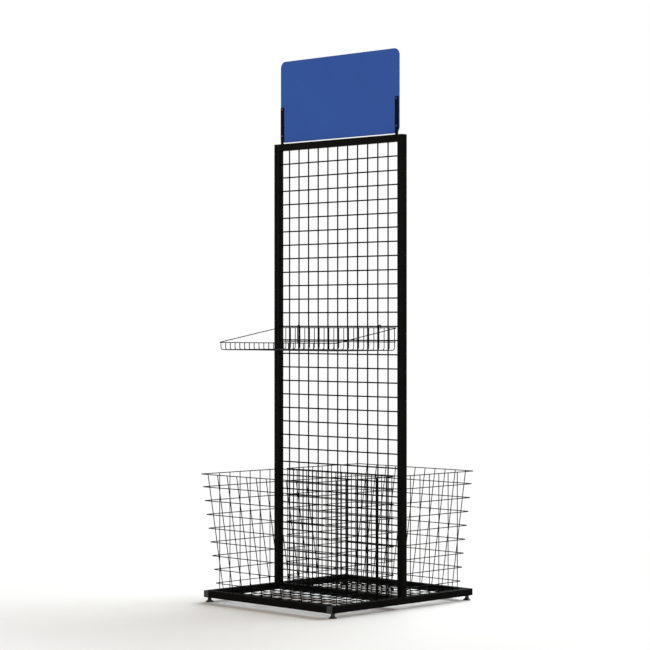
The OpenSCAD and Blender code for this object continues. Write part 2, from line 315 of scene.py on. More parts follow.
def sweep(path: Array, across: Array, radius: float | Array, sides: int = WIRE_SIDES,
          closed: bool = False) -> Skin:
    """Carries a circle along one or many paths, each of which lies in a plane.

    A point is the path's point plus the radius times (cos a * normal + sin a * across), where the
    normal is across x (path direction) and a runs round the circle.

    Args:
        path: points of the paths, as (paths, stations, 3) or (stations, 3).
        across: unit vector square to the plane of the path, one or one for each path.
        radius: one radius, or one for each station.
        sides: number of points round the circle.
        closed: whether each path's end joins its start.

    Returns:
        The skin, with flat ends where the paths have ends.
    """
    path = np.asarray(path, float)
    path = path.reshape(-1, *path.shape[-2:])
    paths, stations = path.shape[:2]
    if closed:
        ahead = np.roll(path, -1, 1) - np.roll(path, 1, 1)
    else:
        ahead = np.concatenate([path[:, 1:2] - path[:, :1], path[:, 2:] - path[:, :-2],
                                path[:, -1:] - path[:, -2:-1]], 1)
    binormal = np.broadcast_to(np.asarray(across, float).reshape(-1, 1, 3), path.shape)
    normal = unit(np.cross(binormal, unit(ahead)))
    angle = circle(sides)[:, None]
    rim = np.cos(angle) * normal[:, :, None] + np.sin(angle) * binormal[:, :, None]
    points = path[:, :, None] + np.broadcast_to(radius, (stations,))[None, :, None, None] * rim
    first = np.arange(paths)[:, None, None] * stations * sides
    skin = Skin().add(points, first + grid_faces(stations, sides, close=closed))
    if not closed:
        ring = np.arange(sides)
        skin.faces += [first[:, 0] + ring[::-1], first[:, 0] + ring + (stations - 1) * sides]
    return skin


def rounded_ends(radius: float) -> tuple[Array, Array]:
    """Rounds the edge of a wire's end by a quarter of a circle, a third of the wire's radius wide.

    A station lies soft * (1 - cos a) inside the end, and its radius is the wire's less
    soft * (1 - sin a).

    Args:
        radius: radius of the wire.

    Returns:
        How far the stations lie inside the end, and their radii.
    """
    turn = np.radians([0, 45, 90])
    soft = radius / 3
    return soft * (1 - np.cos(turn)), radius - soft * (1 - np.sin(turn))


def wires(start: Array, end: Array, diameter: float = THIN_WIRE, sides: int = WIRE_SIDES) -> Skin:
    """Makes straight wires with slightly rounded ends.

    Args:
        start: first ends, as (wires, 3).
        end: last ends, as (wires, 3).
        diameter: diameter of the wires.
        sides: number of points round a wire.

    Returns:
        The skin of all the wires.
    """
    start, end = np.broadcast_arrays(np.atleast_2d(start), np.atleast_2d(end))
    along = unit(end - start)
    inset, radius = rounded_ends(diameter / 2)
    head = start[:, None] + along[:, None] * inset[None, :, None]
    tail = end[:, None] - along[:, None] * inset[None, ::-1, None]
    # Any direction well away from the wire's own will do.
    helper = np.where(np.abs(along @ X_AXIS)[:, None] > 0.5, Y_AXIS, X_AXIS)
    across = unit(helper - along * np.sum(helper * along, -1, keepdims=True))
    return sweep(np.concatenate([head, tail], 1), across, np.concatenate([radius, radius[::-1]]), sides)


def rods(along: int, *lists: Places, diameter: float = THIN_WIRE, sides: int = WIRE_SIDES) -> Skin:
    """Makes straight wires along one axis, at every crossing of the places on the other two.

    Args:
        along: 0, 1 or 2 for wires along X, Y or Z.
        lists: places on X, on Y and on Z; those on the wires' own axis are their two ends.
        diameter: diameter of the wires.
        sides: number of points round a wire.

    Returns:
        The skin of all the wires.
    """
    starts, ends = list(lists), list(lists)
    starts[along], ends[along] = lists[along][:1], lists[along][1:]
    return wires(crossings(*starts), crossings(*ends), diameter, sides)


def nuggets(centres: Array, size: Triple, around: int = 8) -> Skin:
    """Makes the small weld nuggets where wires meet: low round lenses, each of a few dozen faces.

    A point is the centre plus (cos v cos u, cos v sin u, sin v) times the size.

    Args:
        centres: places of the nuggets, as (nuggets, 3).
        size: half sizes along X, Y and Z.
        around: number of points round a nugget.

    Returns:
        The skin of all the nuggets.
    """
    centres = np.asarray(centres, float).reshape(-1, 1, 3)
    tilt = np.radians([-NUGGET_TILT, 0, NUGGET_TILT])[:, None]
    belt = spun(np.cos(tilt), np.sin(tilt), around).reshape(-1, 3)
    ball = np.concatenate([belt, [-Z_AXIS, Z_AXIS]]) * size
    ring = np.arange(around)
    ahead = np.roll(ring, -1)
    bottom = np.stack([ahead, ring, np.full(around, len(belt))], -1)
    top = np.stack([ring + 2 * around, ahead + 2 * around, np.full(around, len(belt) + 1)], -1)
    first = np.arange(len(centres))[:, None, None] * len(ball)
    return Skin().add(centres + ball, first + grid_faces(3, around), first + bottom, first + top)


def block(xs: Pair, ys: Pair, zs: Pair) -> Skin:
    """Makes a block with flat sides; its corners are numbered in the order that crossings gives them.

    Args:
        xs: its ends along X.
        ys: its ends along Y.
        zs: its ends along Z.

    Returns:
        The skin.
    """
    left, right, front, back = (0, 1, 3, 2), (4, 6, 7, 5), (0, 4, 5, 1), (2, 3, 7, 6)
    bottom, top = (0, 2, 6, 4), (1, 5, 7, 3)
    return Skin().add(crossings(xs, ys, zs), np.array([left, right, front, back, bottom, top]))


def lathe(profile: Array, around: int) -> Skin:
    """Turns a profile, radii and heights from the bottom up the outside, about Z, with flat ends."""
    radius, height = np.asarray(profile, float).T[:, :, None]
    return Skin().rings(spun(radius, height, around))


def plate(outline: Array, thickness: float, edge: float) -> Skin:
    """Makes a flat plate with rounded edges: the outline, drawn in by the edge's inset, at each height.

    The inset is edge * (1 - sin a) and the height edge * (1 - cos a), for a quarter turn of a. One
    more outline just inside each edge keeps the shading of the faces flat.

    Args:
        outline: anticlockwise outline, as (points, 2).
        thickness: thickness of the plate.
        edge: radius of the rounded edges.

    Returns:
        The skin, from height 0 to the thickness.
    """
    turn = np.radians(np.linspace(0, 90, EDGE_POINTS))
    inset = edge * np.concatenate([[FACE_IN], 1 - np.sin(turn)])
    rise = edge * np.concatenate([[0], 1 - np.cos(turn)])
    inset = np.concatenate([inset, inset[::-1]])
    height = np.concatenate([rise, thickness - rise[::-1]])
    ahead = np.roll(outline, -1, 0) - np.roll(outline, 1, 0)
    outward = unit(np.stack([ahead[:, 1], -ahead[:, 0]], -1))
    flat = outline[None] - inset[:, None, None] * outward[None]
    height = np.broadcast_to(height[:, None, None], (*flat.shape[:2], 1))
    return Skin().rings(np.concatenate([flat, height], -1))


def hex_nut(flats: float, bore: float, height: float, around: int = 48) -> Skin:
    """Makes a nut: a hexagon whose corners are cut by a cone at both ends, round a plain bore.

    The hexagon's radius is half the flats / cos(angle from the middle of the side), and the cone
    holds it to a little more than half the flats at both ends.

    Args:
        flats: width across the flats.
        bore: radius of the bore.
        height: height of the nut.
        around: number of points round the nut.

    Returns:
        The skin, standing on the origin.
    """
    hexagon = flats / 2 / np.cos(np.mod(circle(around), math.pi / 3) - math.pi / 6)
    cone = np.minimum(hexagon, flats * NUT_CONE)
    edge = NUT_CHAMFER * flats
    hole = np.full(around, bore)
    radii = np.stack([cone, hexagon, hexagon, cone, hole, hole])
    heights = np.array([0, edge, height - edge, height, height, 0])[:, None]
    return Skin().add(spun(radii, heights, around), grid_faces(len(radii), around, close=True))


@dataclass(frozen=True)
class TubeHole:
    """A hole through one wall of a square tube.

    Args:
        place: distance of its middle along the tube.
        offset: distance of its middle across the wall.
        half_long: half its length along the tube.
        half_wide: half its width across the wall.
        round: whether it is round or square-cornered.
    """

    place: float
    offset: float
    half_long: float
    half_wide: float
    round: bool

    def outline(self) -> tuple[Array, Array]:
        """Draws its edge: a circle, stretched by 1 / max(|cos a|, |sin a|) where it is square-cornered.

        Returns:
            Distances across and along, anticlockwise from the near corner.
        """
        turn = circle(HOLE_POINTS, math.radians(-135))
        across, along = np.cos(turn), np.sin(turn)
        if not self.round:
            stretch = np.maximum(np.abs(across), np.abs(along))
            across, along = across / stretch, along / stretch
        return self.offset + self.half_wide * across, self.place + self.half_long * along


@dataclass(frozen=True)
class SquareTube:
    """A hollow square tube with rounded corners, closed walls all round and open ends.

    Its outer and inner surfaces are one outline each, carried along the tube. The outline has the
    same points across each of its flat sides, so a hole takes the place of a square block of faces.
    """

    size: float
    wall: float
    corner: float
    holes: tuple[TubeHole, ...] = ()
    # Width of the narrow faces next to the corners, and least radius of the inner corners.
    strip: float = 0.0003
    least_corner: float = 0.0004
    # Share of a flat side that the middle faces take up where the tube has no hole.
    plain_reach: float = 0.55
    corner_points: int = 4

    def flats(self, half: float, corner: float) -> Array:
        """Spreads an outline's points across one flat side: a strip at each edge and the hole's block.

        Args:
            half: half the outline's width.
            corner: radius of its corners.

        Returns:
            The points' places across the side.
        """
        flat = half - corner
        centre, reach = 0.0, self.plain_reach * flat
        if self.holes:
            centre, reach = self.holes[0].offset, HOLE_REACH * self.holes[0].half_wide
        edges = np.array([flat - self.strip, flat])
        return np.concatenate([-edges[::-1], centre + reach * HOLE_BLOCK, edges])

    def outline(self, half: float, corner: float) -> Array:
        """Draws one outline: a flat side and a quarter circle, four times turned by a right angle.

        Args:
            half: half its width.
            corner: radius of its corners.

        Returns:
            The outline, anticlockwise from the low end of the +X side, as (points, 2).
        """
        across = self.flats(half, corner)
        turn = np.radians(np.linspace(0, 90, self.corner_points + 2)[1:-1])
        out = np.concatenate([np.full(len(across), half), half - corner + corner * np.cos(turn)])
        up = np.concatenate([across, half - corner + corner * np.sin(turn)])
        quarter = np.radians([0, 90, 180, 270])[:, None]
        return np.stack([np.cos(quarter) * out - np.sin(quarter) * up,
                         np.sin(quarter) * out + np.cos(quarter) * up], -1).reshape(-1, 2)

    def skin(self, length: float) -> Skin:
        """Builds the tube along Z, with its holes in the wall that faces +Y.

        Args:
            length: length of the tube.

        Returns:
            The skin, from height 0 to the length.
        """
        outer = self.outline(self.size / 2, self.corner)
        inner = self.outline(self.size / 2 - self.wall, max(self.corner - self.wall, self.least_corner))
        places = [hole.place + HOLE_REACH * hole.half_long * HOLE_BLOCK for hole in self.holes]
        along = np.concatenate([[0.0], *places, [length]])
        rows, columns = len(along), len(outer)
        layers = np.broadcast_to(np.stack([outer, inner])[:, None], (2, rows, columns, 2))
        heights = np.broadcast_to(along[None, :, None, None], (2, rows, columns, 1))
        faces = grid_faces(rows, columns)
        row, column = faces[:, 0] // columns, faces[:, 0] % columns
        # The second side faces +Y, and two points come before its middle faces.
        first = columns // 4 + 2
        stride = HOLE_FACES + 1
        in_block = (column >= first) & (column < first + HOLE_FACES) & ((row - 1) % stride < HOLE_FACES)
        keep = faces[~(in_block & bool(self.holes))]
        far = rows * columns
        ring = np.arange(columns)
        ahead = np.roll(ring, -1)
        start = np.stack([ahead, ring, ring + far, ahead + far], -1)
        end = start[:, [1, 0, 3, 2]] + (rows - 1) * columns
        skin = Skin().add(np.concatenate([layers, heights], -1), keep, keep[:, ::-1] + far, start, end)
        for number, hole in enumerate(self.holes):
            self.cut(skin, hole, (1 + stride * number) * columns + first, columns, far)
        return skin

    def cut(self, skin: Skin, hole: TubeHole, corner: int, columns: int, far: int) -> None:
        """Adds the faces round a hole and its edge through the wall.

        Args:
            skin: the tube, from which the block of faces has been left out.
            hole: the hole.
            corner: number of the block's first point on the outer surface.
            columns: number of points in one outline.
            far: how much higher the same point's number is on the inner surface.
        """
        going, last = np.arange(HOLE_FACES), HOLE_FACES
        rim = corner + np.concatenate([going, last + going * columns, last * columns + last - going,
                                       (last - going) * columns])
        across, along = hole.outline()
        half = self.size / 2
        edge = np.stack([np.stack([-across, np.full(HOLE_POINTS, level), along], -1)
                         for level in (half, half - self.wall)])
        ring = np.arange(HOLE_POINTS)
        ahead = np.roll(ring, -1)
        outer = skin.count + ring
        inner = outer + HOLE_POINTS
        skin.add(edge)
        walls = [
            (rim, rim[ahead], outer[ahead], outer),
            (outer, outer[ahead], inner[ahead], inner),
            (inner, inner[ahead], rim[ahead] + far, rim + far),
        ]
        skin.faces += [np.stack(corners, -1) for corners in walls]


def weld_bead(start: Triple, end: Triple, radius: float = 0.0019, drop: float = 0.0021,
              swelling: float = 0.11, least: float = 0.45, sides: int = 8) -> Skin:
    """Makes a weld bead: a wire whose radius swells by a cosine, once for each drop of weld metal.

    The radius also falls towards the ends, as the root of the distance from the end over the radius.
    A drop has four rings of points.

    Args:
        start: first end.
        end: last end.
        radius: mean radius.
        drop: length of one drop.
        swelling: how much a drop swells, as a share of the radius.
        least: least share of the radius at the ends.
        sides: number of points round the bead.

    Returns:
        The skin.
    """
    start, end = np.asarray(start, float), np.asarray(end, float)
    length = float(np.linalg.norm(end - start))
    drops = max(round(length / drop), 2)
    share = np.linspace(0, 1, 4 * drops + 1)
    taper = np.clip(np.sqrt(np.minimum(share, 1 - share) * length / radius), least, 1)
    swell = taper * (1 + swelling * np.cos(2 * math.pi * drops * share))
    across = X_AXIS if math.isclose(start[0], end[0]) else Y_AXIS
    return sweep(start + share[:, None] * (end - start), across, radius * swell, sides)


class Graph:
    """The nodes of a material or of the world, with short ways to add the ones that are used."""

    def __init__(self, owner: bpy.types.Material | bpy.types.World) -> None:
        """Turns the owner's nodes on and keeps their tree."""
        owner.use_nodes = True
        self.tree = owner.node_tree

    def feed(self, node: bpy.types.Node, inputs: dict) -> None:
        """Feeds a node: an output is linked to the input and a value is set.

        Args:
            node: the node.
            inputs: values or outputs of other nodes, by the input's name or number.
        """
        for name, value in inputs.items():
            if isinstance(value, Socket):
                self.tree.links.new(value, node.inputs[name])
            else:
                node.inputs[name].default_value = value

    def node(self, kind: str, output: str | int, inputs: dict, **settings: str) -> Socket:
        """Adds a node.

        Args:
            kind: type of the node.
            output: name or number of the output that is wanted.
            inputs: values or outputs of other nodes, by the input's name or number.
            settings: the node's own properties.

        Returns:
            The output.
        """
        made = self.tree.nodes.new(kind)
        for name, value in settings.items():
            setattr(made, name, value)
        self.feed(made, inputs)
        return made.outputs[output]

    @cached_property
    def place(self) -> Socket:
        """Gives the object's coordinates."""
        return self.node("ShaderNodeTexCoord", "Object", {})

    def noise(self, size: float, detail: float = 3.0) -> Socket:
        """Gives a noise from 0 to 1 whose spots are about size metres apart."""
        inputs = {"Scale": 1 / size, "Detail": detail, "Vector": self.place}
        return self.node("ShaderNodeTexNoise", "Fac", inputs)

    def cells(self, size: float) -> Socket:
        """Gives the distance to the middle of cells about size metres wide."""
        return self.node("ShaderNodeTexVoronoi", "Distance", {"Scale": 1 / size, "Vector": self.place})

    def between(self, value: Socket, low: float, high: float) -> Socket:
        """Spreads a noise over the numbers from low to high."""
        limits = dict(zip(("From Min", "From Max", "To Min", "To Max"), (*NOISE_RANGE, low, high)))
        return self.node("ShaderNodeMapRange", "Result", {"Value": value, **limits})

    def blend(self, value: Socket, low: Triple, high: Triple) -> Socket:
        """Spreads a noise over the colours from low to high.

        Args:
            value: the noise.
            low: colour of its lowest values.
            high: colour of its highest values.

        Returns:
            The colour.
        """
        colour = self.node("ShaderNodeValToRGB", "Color", {"Fac": value})
        for stop, position, shade in zip(colour.node.color_ramp.elements, NOISE_RANGE, (low, high)):
            stop.position = position
            stop.color = (*shade, 1.0)
        return colour

    def bump(self, height: Socket, distance: float, strength: float = 1.0,
             under: Socket | None = None) -> Socket:
        """Bends the normal by a height.

        Args:
            height: the height, from 0 to 1.
            distance: how high 1 is, in metres.
            strength: share of the bend that is used.
            under: normal of a coarser grain that lies under this one.

        Returns:
            The normal.
        """
        inputs = {"Distance": distance, "Strength": strength, "Height": height}
        if under is not None:
            inputs["Normal"] = under
        return self.node("ShaderNodeBump", "Normal", inputs)

    def seen(self) -> Socket:
        """Tells the rays that come from the camera, a gloss or a clear piece from all others.

        Returns:
            1 for such a ray and 0 for any other.
        """
        total = self.node("ShaderNodeLightPath", "Is Camera Ray", {})
        rays = total.node.outputs
        for name in ("Is Glossy Ray", "Is Transmission Ray"):
            total = self.node("ShaderNodeMath", "Value", {0: total, 1: rays[name]}, operation="MAXIMUM")
        return total


@dataclass(frozen=True)
class Finish:
    """The finish of one material slot.

    Args:
        slot: name of the slot in the record.
        dark: darkest colour, in linear red, green and blue.
        light: lightest colour.
        cloud: size of the patches between the two colours, in metres.
        rough: lowest and highest roughness.
        grain: size of the surface's grain, in metres.
        relief: height of the grain, in metres.
        specular: specular level.
    """

    slot: str
    dark: Triple
    light: Triple
    cloud: float
    rough: Pair
    grain: float
    relief: float
    specular: float = 0.5

    @property
    def name(self) -> str:
        """Gives the material's name, which differs from that of the frame's plain one."""
        return f"{self.slot}_finish"

    def material(self) -> bpy.types.Material:
        """Gives the finish's material, which is made once."""
        return bpy.data.materials.get(self.name) or self.make()

    def make(self) -> bpy.types.Material:
        """Builds the colour patches, the roughness, whose patches are three times finer, and the grain.

        Returns:
            The material.
        """
        material = bpy.data.materials.new(self.name)
        graph = Graph(material)
        graph.feed(graph.tree.nodes["Principled BSDF"], {
            "Base Color": graph.blend(graph.noise(self.cloud), self.dark, self.light),
            "Roughness": graph.between(graph.noise(self.cloud / 3), *self.rough),
            "Normal": self.surface(graph),
            "Specular IOR Level": self.specular,
            **self.polish(),
        })
        return material

    def surface(self, graph: Graph) -> Socket:
        """Gives the normal of the surface's grain."""
        return graph.bump(graph.noise(self.grain), self.relief)

    def polish(self) -> dict[str, float]:
        """Gives what else the shader needs; a plain finish needs nothing."""
        return {}


@dataclass(frozen=True)
class PowderCoat(Finish):
    """Baked black powder: an orange-peel surface with finer pits, under a thin gloss.

    Args:
        gloss: strength of the gloss.
        gloss_rough: roughness of the gloss.
        gloss_index: how strongly the gloss bends light.
        finer: how many times finer and lower than the peel the pits are.
        pitting: strength of the pits.
    """

    gloss: float = 0.06
    gloss_rough: float = 0.22
    gloss_index: float = 1.45
    finer: float = 6.0
    pitting: float = 0.6

    def surface(self, graph: Graph) -> Socket:
        """Builds the orange peel with the finer pits over it.

        Args:
            graph: the nodes of the material.

        Returns:
            The normal.
        """
        peel = graph.bump(graph.noise(self.grain, detail=1.0), self.relief)
        pits = graph.noise(self.grain / self.finer, detail=2.0)
        return graph.bump(pits, self.relief / self.finer, self.pitting, peel)

    def polish(self) -> dict[str, float]:
        """Gives the gloss of the molten powder."""
        return {"Coat Weight": self.gloss, "Coat Roughness": self.gloss_rough, "Coat IOR": self.gloss_index}


@dataclass(frozen=True)
class ZincPlate(Finish):
    """Black zinc on steel: small crystals with faint scratches.

    Args:
        strength: strength of the facets and of the scratches.
        finer: how many times finer than the crystals the scratches are.
        lower: how many times lower they are.
    """

    strength: float = 0.5
    finer: float = 4.0
    lower: float = 3.0

    def surface(self, graph: Graph) -> Socket:
        """Builds the crystals' facets with the scratches over them.

        Args:
            graph: the nodes of the material.

        Returns:
            The normal.
        """
        facets = graph.bump(graph.cells(self.grain), self.relief, self.strength)
        scratches = graph.noise(self.grain / self.finer, detail=6.0)
        return graph.bump(scratches, self.relief / self.lower, self.strength, facets)

    def polish(self) -> dict[str, float]:
        """Makes it metal."""
        return {"Metallic": 1.0}


BLACK_COAT = PowderCoat("black_coat", (0.0026, 0.0024, 0.0022), (0.0042, 0.0039, 0.0035), 0.09,
                        (0.42, 0.54), 0.0016, 0.00006, 0.0)
CAP_PLASTIC = Finish("cap_plastic", (0.0145, 0.0145, 0.0145), (0.0195, 0.0195, 0.0195), 0.012,
                     (0.5, 0.62), 0.0006, 0.00005, 0.3)
FOOT_PLASTIC = Finish("foot_plastic", (0.013, 0.011, 0.010), (0.022, 0.019, 0.017), 0.009,
                      (0.5, 0.66), 0.0007, 0.00006, 0.3)
BLACK_ZINC = ZincPlate("black_zinc", (0.035, 0.036, 0.039), (0.055, 0.057, 0.061), 0.004,
                       (0.3, 0.46), 0.0012, 0.00003)
BLUE_BOARD = Finish("blue_board", (0.0226, 0.0650, 0.255), (0.0251, 0.0700, 0.272), 0.16,
                    (0.44, 0.52), 0.0011, 0.00003, 0.06)


def show(name: str, data: bpy.types.ID) -> bpy.types.Object:
    """Makes an object and puts it in the scene.

    Args:
        name: name of the object.
        data: its mesh, light or camera.

    Returns:
        The object.
    """
    made = bpy.data.objects.new(name, data)
    bpy.context.scene.collection.objects.link(made)
    return made


def place(skin: Skin, name: str, body: str, *nodes: str, finish: Finish = BLACK_COAT) -> None:
    """Makes a piece of a skin, gives it its finish, ties it to its body and hides the nodes that it stands
    for.

    Args:
        skin: points and faces of the piece.
        name: name of the piece.
        body: body that it rides on.
        nodes: nodes of the frame that it replaces.
        finish: finish that it wears.
    """
    piece = show(name, skin.mesh(name))
    piece.data.materials.append(finish.material())
    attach(piece, body)
    finish.slot
    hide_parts(*nodes)
    LOG.info("%s: %d points, rides on %s", name, skin.count, body)


@dataclass
class BaseFrame:
    """Rails, uprights and top rail of square tube, with their caps, welds and wire floors."""

    tube: float = 0.025
    wall: float = 0.0015
    corner: float = 0.0021
    # Radius of the holes above the feet, play of a lock nut round its stud, and width of the nut.
    stud_hole: float = 0.0045
    stud_fit: float = 0.00005
    lock_flats: float = 0.013
    # Half length and half width of the top rail's slots, and how far in front of the middle they lie.
    slot_half: Pair = (0.0053, 0.0018)
    slot_front: float = 0.0035
    # Thickness of a cap's plate and radius of its edge.
    cap_plate: float = 0.0025
    cap_edge: float = 0.0009
    # Thickness and length of a cap's fins, and how far from the middle they reach.
    fin: float = 0.0015
    fin_length: float = 0.012
    fin_reach: float = 0.0109
    # Radius of the beads over a tube's end, how far past the end and in from the edge they lie, as a
    # share of the tube's corner radius, and how far short of the tube's sides they stop.
    edge_bead: float = 0.0013
    edge_bead_in: float = 0.6
    edge_bead_gap: float = 0.002
    # How far short of the tubes' sides the beads in the inner corners stop.
    corner_bead_gap: float = 0.001
    # Points round a panel wire, and half sizes of the weld nuggets at crossings and at wire ends.
    panel_sides: int = 14
    panel_weld: Triple = (0.0027, 0.0014, 0.0027)
    panel_end_weld: Triple = (0.0036, 0.0034, 0.0012)
    floor_weld: Triple = (0.0019, 0.0019, 0.001)
    floor_end_weld: Pair = (0.0024, 0.0009)
    body: str = "frame"

    def tube_between(self, node: str, along: int, wall_axis: Array, holes: tuple[TubeHole, ...] = ()) -> Skin:
        """Builds the tube that stands for a node.

        Args:
            node: name of the node.
            along: 0, 1 or 2 for a tube along X, Y or Z.
            wall_axis: direction in which the wall with the holes faces.
            holes: holes, placed from the tube's low end.

        Returns:
            The skin, in its place.
        """
        low, high = span(node)
        axis = UPRIGHT[along]
        start = middle(node) * (1 - axis) + low * axis
        axes = np.stack([np.cross(wall_axis, axis), wall_axis, axis])
        tube = SquareTube(self.tube, self.wall, self.corner, holes)
        return tube.skin(float((high - low)[along])).placed(start, axes)

    def edge_beads(self, x: float, low: Array, high: Array, along: int) -> Skin:
        """Builds the weld beads over a tube's end, on its two edges that run along Y or Z.

        Args:
            x: place of the end.
            low: lowest corner of the tube.
            high: highest corner of the tube.
            along: 1 for edges along Y, 2 for edges along Z.

        Returns:
            The skin.
        """
        inset = self.corner * self.edge_bead_in
        lines = np.stack([[low, high], [low, high]])
        lines[:, :, 0] = x + math.copysign(inset, x)
        lines[:, :, 3 - along] = [[low[3 - along] + inset], [high[3 - along] - inset]]
        lines[:, :, along] += (self.edge_bead_gap, -self.edge_bead_gap)
        return Skin().join(*[weld_bead(*line, self.edge_bead) for line in lines])

    def side_rail(self, hand: Hand) -> None:
        """Builds a side rail, with a hole in its lower wall above each foot.

        Args:
            hand: which side rail.
        """
        node = f"{hand}_rail"
        low, _ = span(node)
        studs = [middle(f"{side}_{hand}_foot_stud")[1] for side in Side]
        holes = tuple(TubeHole(y - low[1], 0, self.stud_hole, self.stud_hole, True) for y in studs)
        place(self.tube_between(node, 1, -Z_AXIS, holes), f"{node}_tube", self.body, node)

    def cross_rail(self, node: str) -> None:
        """Builds a rail between the side rails, with weld beads in its inner corners and over its ends.

        Args:
            node: name of the rail's node.
        """
        low, high = span(node)
        skin = self.tube_between(node, 0, Z_AXIS)
        reach = span("rear_rail")[1][1] - self.corner_bead_gap
        foot, top = low[2] + self.corner_bead_gap, high[2] - self.corner_bead_gap
        for x in (low[0], high[0]):
            for y in (low[1], high[1]):
                if abs(y) < reach:
                    skin.join(weld_bead((x, y, foot), (x, y, top)))
            skin.join(self.edge_beads(x, low, high, 1))
        place(skin, f"{node}_tube", self.body, node)

    def upright(self, hand: Hand) -> None:
        """Builds an upright, with weld beads where it stands on the base.

        Args:
            hand: which upright.
        """
        node = f"{hand}_upright"
        low, high = span(node)
        skin = self.tube_between(node, 2, -Y_AXIS)
        near, far = low + self.corner, high - self.corner
        for y in (low[1], high[1]):
            skin.join(weld_bead((near[0], y, low[2]), (far[0], y, low[2])))
        inner = high[0] if hand is Hand.LEFT else low[0]
        skin.join(weld_bead((inner, near[1], low[2]), (inner, far[1], low[2])))
        place(skin, f"{node}_tube", self.body, node)

    def top_rail(self) -> None:
        """Builds the top rail, with its two slots and the weld beads at its ends."""
        low, high = span("top_rail")
        pegs = [middle(f"{hand}_board_bracket")[0] for hand in Hand]
        holes = tuple(TubeHole(x - low[0], self.slot_front, *self.slot_half, False) for x in pegs)
        skin = self.tube_between("top_rail", 0, Z_AXIS, holes)
        front, back = low[1] + self.edge_bead_gap, high[1] - self.edge_bead_gap
        for x in (low[0], high[0]):
            skin.join(weld_bead((x, front, low[2]), (x, back, low[2])), self.edge_beads(x, low, high, 2))
        place(skin, "top_rail_tube", self.body, "top_rail")

    def cap(self, face: Array, outward: Array, open_side: Array) -> Skin:
        """Builds a tube cap: a pillowed plate and three fins inside the tube.

        Args:
            face: middle of the tube's open end.
            outward: direction in which the end faces.
            open_side: direction of the side that has no fin.

        Returns:
            The skin, in its place.
        """
        half = self.tube / 2
        skin = plate(loop(half, -half, half, self.corner), self.cap_plate, self.cap_edge)
        reach = self.fin_reach
        inside = reach - self.fin
        bars = [((-reach, reach), (-reach, -inside)), ((-reach, -inside), (-inside, reach)),
                ((inside, reach), (-inside, reach))]
        for xs, ys in bars:
            skin.join(block(xs, ys, (-self.fin_length, 0)))
        return skin.placed(face, np.stack([np.cross(open_side, outward), open_side, outward]))

    def caps(self) -> None:
        """Builds the caps of the side rails and of the uprights."""
        rails, uprights = Skin(), Skin()
        for hand in Hand:
            low, high = span(f"{hand}_rail")
            for side in Side:
                outward = side.value * Y_AXIS
                face = middle(f"{hand}_rail") + outward * (high[1] - low[1]) / 2
                rails.join(self.cap(face, outward, -Z_AXIS))
            x, y, _ = middle(f"{hand}_upright")
            top = span(f"{hand}_upright")[1][2]
            uprights.join(self.cap(np.array([x, y, top]), Z_AXIS, Y_AXIS))
        place(rails, "rail_cap_plates", self.body, "rail_caps", finish=CAP_PLASTIC)
        place(uprights, "upright_cap_plates", self.body, "upright_caps", finish=CAP_PLASTIC)

    def panel(self) -> None:
        """Builds the wire panel between the uprights, welded at every crossing and at every end."""
        low, high = span("panel_upright_wires")
        cross_low, cross_high = span("panel_cross_wires")
        half, radius = cross_high[0], PANEL_WIRE / 2
        columns = centred(half - END_ROOM)
        rows = steps(cross_low[2] + radius, cross_high[2] - radius)
        front, back = low[1] + radius, cross_high[1] - radius
        gauge = {"diameter": PANEL_WIRE, "sides": self.panel_sides}
        ends = columns, [front], [low[2], high[2]]
        upright = rods(2, *ends, **gauge).join(nuggets(crossings(*ends), self.panel_end_weld))
        middles = crossings(columns, [(front + back) / 2], rows)
        ends = [-half, half], [back], rows
        cross = rods(0, *ends, **gauge).join(nuggets(middles, self.panel_weld),
                                             nuggets(crossings(*ends), self.panel_end_weld[::-1]))
        place(upright, "welded_upright_wires", self.body, "panel_upright_wires")
        place(cross, "welded_cross_wires", self.body, "panel_cross_wires")

    def floor(self, side: Side) -> None:
        """Builds the wire floor of one bay of the base.

        Args:
            side: which bay.
        """
        node = f"{side}_floor_mesh"
        low, high = span(node)
        columns = centred(high[0] - END_ROOM)
        rows = middle(node)[1] + centred((high[1] - low[1] - END_ROOM) / 2)
        under, over = low[2] + THIN_WIRE / 2, high[2] - THIN_WIRE / 2
        deep, wide = (columns, [low[1], high[1]], [under]), ([low[0], high[0]], rows, [over])
        broad, flat = self.floor_end_weld
        skin = rods(1, *deep).join(
            rods(0, *wide),
            nuggets(crossings(columns, rows, [(under + over) / 2]), self.floor_weld),
            nuggets(crossings(*deep), (broad, flat, broad)),
            nuggets(crossings(*wide), (flat, broad, broad)),
        )
        place(skin, f"{side}_floor_wires", self.body, node)

    def lock_nuts(self) -> None:
        """Builds the nuts that lock the foot studs under the side rails."""
        low, high = span("foot_lock_nuts")
        skin = Skin()
        for hand in Hand:
            for side in Side:
                stud = f"{side}_{hand}_foot_stud"
                stud_low, stud_high = span(stud)
                bore = (stud_high - stud_low)[0] / 2 + self.stud_fit
                x, y, _ = middle(stud)
                skin.join(hex_nut(self.lock_flats, bore, high[2] - low[2]).placed((x, y, low[2])))
        place(skin, "foot_lock_nut_set", self.body, "foot_lock_nuts", finish=BLACK_ZINC)

    def build(self, frame: dict) -> None:
        """Builds the whole frame.

        Args:
            frame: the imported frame, whose plain inserts get their finish.
        """
        for hand in Hand:
            self.side_rail(hand)
            self.upright(hand)
        for node in ("front_rail", "rear_rail", "centre_rail"):
            self.cross_rail(node)
        self.top_rail()
        self.caps()
        self.lock_nuts()
        self.panel()
        for side in Side:
            self.floor(side)
        for slot in frame["nodes"]["foot_inserts"].material_slots:
            slot.material = BLACK_ZINC.material()


